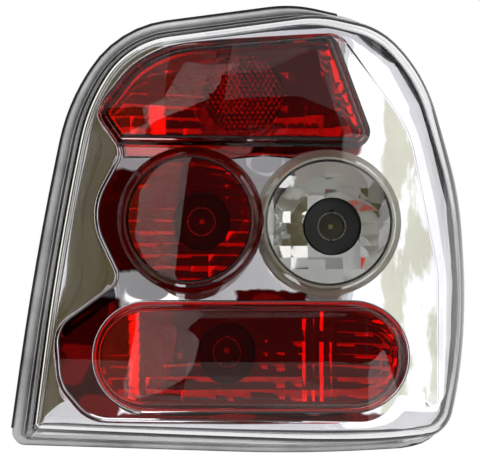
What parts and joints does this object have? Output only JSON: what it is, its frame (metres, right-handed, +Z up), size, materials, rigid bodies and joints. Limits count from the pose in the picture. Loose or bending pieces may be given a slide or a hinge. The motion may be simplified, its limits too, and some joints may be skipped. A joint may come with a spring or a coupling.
{
  "type": "rear lamp cluster",
  "caption": "Right-hand rear lamp cluster: clear wrap-round lens over a chromed bezel, red stop and tail lenses, a clear reversing lens and empty bayonet sockets.",
  "frame": {"origin": "on the rear gasket's mounting face, behind the middle of the lamp's outline", "axes": "+Z up, -Y out of the lens towards the viewer, +X outboard towards the car's side"},
  "size_m": [0.2613, 0.1045, 0.2555],
  "materials": {
    "black_plastic": "grained",
    "rubber": "matt",
    "sealant": "matt",
    "clear_plastic": "clear, polished",
    "chromed_plastic": "mirror",
    "aluminised_plastic": "mirror",
    "red_plastic": "transparent, polished",
    "plated_steel": "zinc plated",
    "spring_steel": "bright drawn",
    "brass": "satin",
    "insulating_board": "matt"
  },
  "bodies": {
    "root": {"housing": "black_plastic", "body_gasket": "rubber", "edge_seal": "rubber", "lens_sealant": "sealant", "outer_lens": "clear_plastic", "bezel": "chromed_plastic", "upper_lens": "red_plastic", "stop_lens": "red_plastic", "reverse_lens": "clear_plastic", "lower_lens": "red_plastic", "reflex_disc": "red_plastic", "reflector_upper": "aluminised_plastic", "reflector_stop": "aluminised_plastic", "reflector_reverse": "aluminised_plastic", "reflector_lower": "aluminised_plastic", "bulb_carrier": "black_plastic", "carrier_gasket": "rubber", "socket_upper": "plated_steel", "socket_stop": "plated_steel", "socket_reverse": "plated_steel", "socket_lower": "plated_steel", "insulator_upper": "insulating_board", "insulator_stop": "insulating_board", "insulator_reverse": "insulating_board", "insulator_lower": "insulating_board", "contact_upper": "brass", "contact_stop": "brass", "contact_reverse": "brass", "contact_lower": "brass", "spring_upper": "spring_steel", "spring_stop": "spring_steel", "spring_reverse": "spring_steel", "spring_lower": "spring_steel", "connector_blades": "brass", "earth_track": "brass", "feed_track_upper": "brass", "feed_track_stop": "brass", "feed_track_reverse": "brass", "feed_track_lower": "brass", "stud_lower": "plated_steel", "stud_inboard": "plated_steel", "stud_outboard": "plated_steel", "bezel_screws": "plated_steel", "vent_cap_upper": "rubber", "vent_cap_lower": "rubber"}
  },
  "joints": []
}
